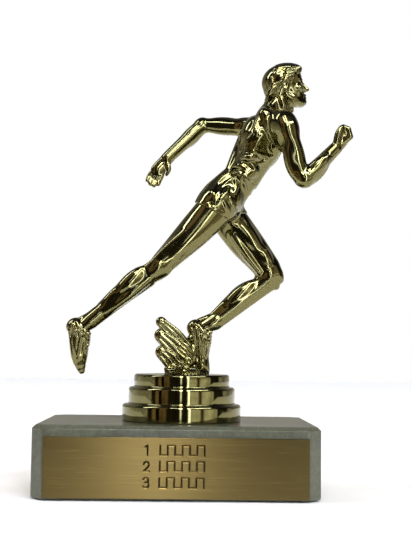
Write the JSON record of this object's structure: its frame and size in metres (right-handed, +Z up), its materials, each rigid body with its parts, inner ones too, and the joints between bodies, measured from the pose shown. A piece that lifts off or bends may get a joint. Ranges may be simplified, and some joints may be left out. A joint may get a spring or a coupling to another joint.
{
  "type": "figure trophy",
  "caption": "Sports award: metallised running figure with a wing on a stepped round riser, bolted to a bevelled marble block with a brass engraving plate.",
  "frame": {"origin": "on the axis of the threaded rod, in the plane of the felt's underside", "axes": "+Z up from the floor to the runner's head, +X the way the runner runs, -Y out of the face that carries the engraving plate"},
  "size_m": [0.1155, 0.0645, 0.1648],
  "materials": {
    "gold_metallised": "polished",
    "marble": "satin",
    "brushed_brass": "satin",
    "zinc_steel": "satin",
    "felt": "matte",
    "adhesive": "matte"
  },
  "bodies": {
    "root": {"felt_pad": "felt", "marble_base": "marble", "plate_adhesive": "adhesive", "engraving_plate": "brushed_brass", "flat_washer": "zinc_steel", "lock_washer": "zinc_steel", "clamp_nut": "zinc_steel", "threaded_rod": "zinc_steel", "insert_nut": "zinc_steel", "riser": "gold_metallised", "runner_figure": "gold_metallised"}
  },
  "joints": []
}
